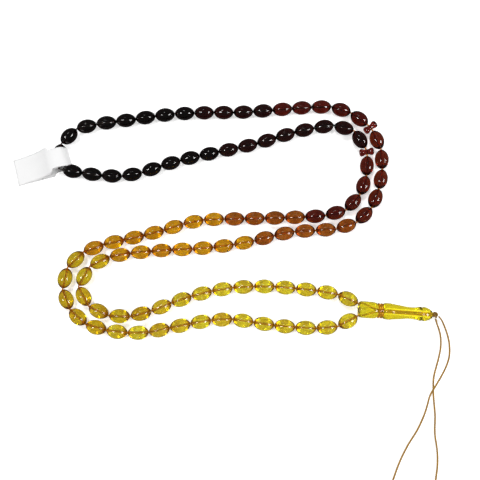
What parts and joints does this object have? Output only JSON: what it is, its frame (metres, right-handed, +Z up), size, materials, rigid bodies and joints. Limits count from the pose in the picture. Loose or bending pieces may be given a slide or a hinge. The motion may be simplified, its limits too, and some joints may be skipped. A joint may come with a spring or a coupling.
{
  "type": "misbaha prayer beads",
  "caption": "Loop of olive-shaped amber beads shading from black cherry to lemon on one thread, with two spool separators, a turned imame, two thread tails and a paper tag.",
  "frame": {"origin": "on the table, under the middle of the box round the laid-out loop, imame and tag, without the two tails", "axes": "+X along the rows of beads, from the tag towards the imame; +Y towards the row of dark beads; +Z up from the table"},
  "size_m": [0.2, 0.1858, 0.0073],
  "materials": {
    "amber_lemon": "polished, transparent, with inclusions",
    "amber_olive_gold": "polished, transparent, with inclusions",
    "amber_golden_orange": "polished, transparent, with cloudy patches",
    "amber_cognac_orange": "polished, translucent",
    "amber_red_brown": "polished, translucent",
    "amber_cherry_red": "polished, translucent",
    "amber_dark_maroon": "polished, nearly opaque",
    "amber_black_cherry": "polished, nearly opaque",
    "amber_dark_cherry": "polished, translucent",
    "thread_gold": "waxed twisted thread",
    "thread_brown": "waxed twisted thread",
    "separator_cherry": "polished, nearly opaque",
    "imame_lemon": "polished, transparent",
    "tag_paper": "matt coated paper"
  },
  "bodies": {
    "middle_run": {"beads_13_to_15": "amber_olive_gold", "beads_16_to_18": "amber_golden_orange", "beads_19_to_21": "amber_golden_orange", "beads_22_to_24": "amber_golden_orange", "beads_25_to_27": "amber_cognac_orange", "beads_28_to_30": "amber_red_brown", "beads_31_to_33": "amber_red_brown", "beads_67_to_69": "amber_dark_cherry", "beads_70_to_72": "amber_dark_cherry", "beads_73_to_75": "amber_cognac_orange", "beads_76_to_78": "amber_golden_orange", "beads_79_to_81": "amber_golden_orange", "beads_82_to_84": "amber_olive_gold", "beads_85_to_87": "amber_olive_gold", "thread_middle_first": "thread_brown", "thread_middle_last": "thread_brown"},
    "far_run": {"beads_36_to_38": "amber_cherry_red", "beads_39_to_41": "amber_dark_maroon", "beads_42_to_44": "amber_black_cherry", "beads_45_to_47": "amber_black_cherry", "beads_53_to_55": "amber_black_cherry", "beads_56_to_58": "amber_black_cherry", "beads_59_to_61": "amber_dark_maroon", "beads_62_to_64": "amber_dark_maroon", "thread_far": "thread_brown"},
    "near_run": {"beads_07_to_09": "amber_lemon", "beads_10_to_12": "amber_olive_gold", "beads_88_to_90": "amber_lemon", "beads_91_to_93": "amber_lemon", "thread_near_first": "thread_gold", "thread_near_last": "thread_gold"},
    "imame_end_run": {"beads_03_to_05": "amber_lemon", "beads_95_to_97": "amber_lemon", "thread_imame_end_first": "thread_gold", "thread_imame_end_last": "thread_gold"},
    "imame": {"imame_junction_bead": "imame_lemon", "thread_through_imame": "thread_gold", "tail_knot": "thread_gold", "tail_inner": "thread_gold", "tail_outer": "thread_gold"},
    "imame_ring": {"imame_ring": "imame_lemon"},
    "imame_body": {"imame_body": "imame_lemon"},
    "tag": {"paper_tag": "tag_paper"},
    "separator_first": {"separator_first": "separator_cherry"},
    "separator_second": {"separator_second": "separator_cherry"},
    "bead_01": {"bead_01": "amber_lemon"},
    "bead_02": {"bead_02": "amber_lemon"},
    "bead_06": {"bead_06": "amber_lemon"},
    "bead_34": {"bead_34": "amber_cherry_red"},
    "bead_35": {"bead_35": "amber_cherry_red"},
    "bead_48": {"bead_48": "amber_black_cherry"},
    "bead_49": {"bead_49": "amber_black_cherry"},
    "bead_50": {"bead_50": "amber_black_cherry"},
    "bead_51": {"bead_51": "amber_black_cherry"},
    "bead_52": {"bead_52": "amber_black_cherry"},
    "bead_65": {"bead_65": "amber_dark_maroon"},
    "bead_66": {"bead_66": "amber_dark_maroon"},
    "bead_94": {"bead_94": "amber_lemon"},
    "bead_98": {"bead_98": "amber_lemon"},
    "bead_99": {"bead_99": "amber_lemon"}
  },
  "joints": [
    {"name": "far_run_lift", "type": "hinge", "parent": "middle_run", "child": "far_run", "pos_m": [0.05358, 0.04817, 0.00415], "axis": [-0.1025, 0.9947, 0], "range_deg": [0, 35]},
    {"name": "near_run_lift", "type": "hinge", "parent": "middle_run", "child": "near_run", "pos_m": [-0.04864, -0.04822, 0.00415], "axis": [-0.1091, -0.994, 0], "range_deg": [0, 25]},
    {"name": "imame_end_lift", "type": "hinge", "parent": "near_run", "child": "imame_end_run", "pos_m": [0.01611, -0.03995, 0.00415], "axis": [-0.0132, -0.9999, 0], "range_deg": [0, 30]},
    {"name": "imame_lift", "type": "hinge", "parent": "imame_end_run", "child": "imame", "pos_m": [0.0629, -0.04215, 0.005], "axis": [-0.075, -0.9972, 0], "range_deg": [0, 30]},
    {"name": "imame_ring_spin", "type": "hinge", "parent": "imame", "child": "imame_ring", "pos_m": [0.0628, -0.04215, 0.00365], "axis": [0.9972, -0.075, 0], "continuous": true},
    {"name": "imame_body_spin", "type": "hinge", "parent": "imame", "child": "imame_body", "pos_m": [0.0628, -0.04215, 0.00365], "axis": [0.9972, -0.075, 0], "continuous": true},
    {"name": "tag_swing", "type": "hinge", "parent": "far_run", "child": "tag", "pos_m": [-0.07422, 0.0236, 0.0032], "axis": [-0.2672, 0.9636, 0], "range_deg": [0, 75]},
    {"name": "separator_first_swing", "type": "hinge", "parent": "middle_run", "child": "separator_first", "pos_m": [0.0712, 0.0425, 0.0032], "axis": [-0.6272, 0.7789, 0], "range_deg": [-30, 30]},
    {"name": "separator_second_swing", "type": "hinge", "parent": "middle_run", "child": "separator_second", "pos_m": [0.069, 0.0305, 0.0032], "axis": [0.1612, -0.9869, 0], "range_deg": [-30, 30]},
    {"name": "bead_01_spin", "type": "hinge", "parent": "imame_end_run", "child": "bead_01", "pos_m": [0.05819, -0.03755, 0.0032], "axis": [-0.9111, 0.4121, 0], "continuous": true},
    {"name": "bead_02_spin", "type": "hinge", "parent": "imame_end_run", "child": "bead_02", "pos_m": [0.04902, -0.03471, 0.0032], "axis": [-0.9845, 0.1753, 0], "continuous": true},
    {"name": "bead_06_spin", "type": "hinge", "parent": "near_run", "child": "bead_06", "pos_m": [0.0115, -0.03227, 0.0032], "axis": [-0.9982, -0.0598, 0], "continuous": true},
    {"name": "bead_34_spin", "type": "hinge", "parent": "middle_run", "child": "bead_34", "pos_m": [0.06615, 0.04674, 0.0032], "axis": [-0.7874, 0.6164, 0], "continuous": true},
    {"name": "bead_35_spin", "type": "hinge", "parent": "middle_run", "child": "bead_35", "pos_m": [0.05775, 0.0512, 0.0032], "axis": [-0.9502, 0.3116, 0], "continuous": true},
    {"name": "bead_48_spin", "type": "hinge", "parent": "far_run", "child": "bead_48", "pos_m": [-0.06196, 0.04304, 0.0032], "axis": [-0.9688, -0.248, 0], "continuous": true},
    {"name": "bead_49_spin", "type": "hinge", "parent": "far_run", "child": "bead_49", "pos_m": [-0.07002, 0.03818, 0.0032], "axis": [-0.6838, -0.7297, 0], "continuous": true},
    {"name": "bead_50_spin", "type": "hinge", "parent": "far_run", "child": "bead_50", "pos_m": [-0.07388, 0.02964, 0.0032], "axis": [-0.0868, -0.9962, 0], "continuous": true},
    {"name": "bead_51_spin", "type": "hinge", "parent": "far_run", "child": "bead_51", "pos_m": [-0.06762, 0.02127, 0.0032], "axis": [0.9827, -0.185, 0], "continuous": true},
    {"name": "bead_52_spin", "type": "hinge", "parent": "far_run", "child": "bead_52", "pos_m": [-0.05853, 0.01981, 0.0032], "axis": [0.9913, -0.1319, 0], "continuous": true},
    {"name": "bead_65_spin", "type": "hinge", "parent": "middle_run", "child": "bead_65", "pos_m": [0.05879, 0.04221, 0.0032], "axis": [0.9595, -0.2818, 0], "continuous": true},
    {"name": "bead_66_spin", "type": "hinge", "parent": "middle_run", "child": "bead_66", "pos_m": [0.06607, 0.03656, 0.0032], "axis": [0.5106, -0.8598, 0], "continuous": true},
    {"name": "bead_94_spin", "type": "hinge", "parent": "near_run", "child": "bead_94", "pos_m": [0.01136, -0.0472, 0.0032], "axis": [0.9887, -0.1501, 0], "continuous": true},
    {"name": "bead_98_spin", "type": "hinge", "parent": "imame_end_run", "child": "bead_98", "pos_m": [0.04848, -0.05016, 0.0032], "axis": [0.9961, 0.0887, 0], "continuous": true},
    {"name": "bead_99_spin", "type": "hinge", "parent": "imame_end_run", "child": "bead_99", "pos_m": [0.05779, -0.0474, 0.0032], "axis": [0.8893, 0.4573, 0], "continuous": true}
  ]
}
